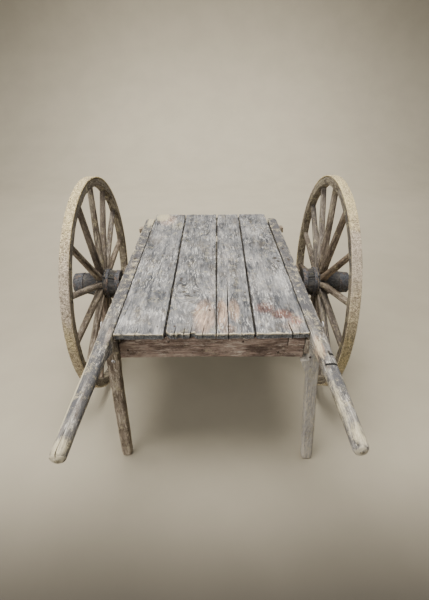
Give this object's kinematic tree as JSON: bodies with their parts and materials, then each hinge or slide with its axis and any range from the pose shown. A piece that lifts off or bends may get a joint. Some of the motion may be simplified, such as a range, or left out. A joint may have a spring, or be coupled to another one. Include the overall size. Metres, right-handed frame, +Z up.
{
  "type": "hand cart",
  "caption": "Weathered flat-deck wooden hand cart on spoked iron-tyred wheels, with long round shaft handles and fixed front legs.",
  "frame": {"origin": "centre of the cart's bounding box, on the ground", "axes": "+X to the right across the cart, +Y from the handles to the tail, +Z up"},
  "size_m": [1.3578, 1.782, 1.0206],
  "materials": {
    "silver_wood": "bare, weathered silver grey, open grain and splits",
    "brown_wood": "bare, weathered grey brown",
    "dark_wood": "bare, shaded and dirt-stained",
    "nave_wood": "old grease and dirt over dark wood",
    "crusted_iron": "iron tyre under a pale crust of dried mud and lichen",
    "old_iron": "dark wrought iron, lightly rusted"
  },
  "bodies": {
    "chassis": {"apron_shim": "brown_wood", "axle": "old_iron", "axle_bed": "dark_wood", "axle_washer_left": "old_iron", "axle_washer_right": "old_iron", "deck_bearer_front": "brown_wood", "deck_bearer_middle": "brown_wood", "deck_plank_1": "silver_wood", "deck_plank_2": "silver_wood", "deck_plank_3": "silver_wood", "deck_plank_4": "silver_wood", "front_apron": "brown_wood", "leg_left": "brown_wood", "leg_right": "brown_wood", "linchpin_left": "old_iron", "linchpin_right": "old_iron", "rear_crossbar": "brown_wood", "shaft_left": "silver_wood", "shaft_right": "silver_wood"},
    "wheel_left": {"wheel_left_felloe_1": "brown_wood", "wheel_left_felloe_2": "brown_wood", "wheel_left_felloe_3": "brown_wood", "wheel_left_felloe_4": "brown_wood", "wheel_left_felloe_5": "brown_wood", "wheel_left_felloe_6": "brown_wood", "wheel_left_felloe_7": "brown_wood", "wheel_left_nave_and_spokes": "nave_wood", "wheel_left_nave_band_inner": "old_iron", "wheel_left_nave_band_middle": "old_iron", "wheel_left_nave_band_outer": "old_iron", "wheel_left_tyre": "crusted_iron"},
    "wheel_right": {"wheel_right_felloe_1": "brown_wood", "wheel_right_felloe_2": "brown_wood", "wheel_right_felloe_3": "brown_wood", "wheel_right_felloe_4": "brown_wood", "wheel_right_felloe_5": "brown_wood", "wheel_right_felloe_6": "brown_wood", "wheel_right_felloe_7": "brown_wood", "wheel_right_nave_and_spokes": "nave_wood", "wheel_right_nave_band_inner": "old_iron", "wheel_right_nave_band_middle": "old_iron", "wheel_right_nave_band_outer": "old_iron", "wheel_right_tyre": "crusted_iron"}
  },
  "joints": [
    {"name": "wheel_left_spin", "type": "hinge", "parent": "chassis", "child": "wheel_left", "pos_m": [-0.543, 0.249, 0.51012], "axis": [0.9999, -0.0082, 0.0068], "continuous": true},
    {"name": "wheel_right_spin", "type": "hinge", "parent": "chassis", "child": "wheel_right", "pos_m": [0.543, 0.249, 0.51034], "axis": [0.9996, -0.0126, -0.027], "continuous": true}
  ]
}
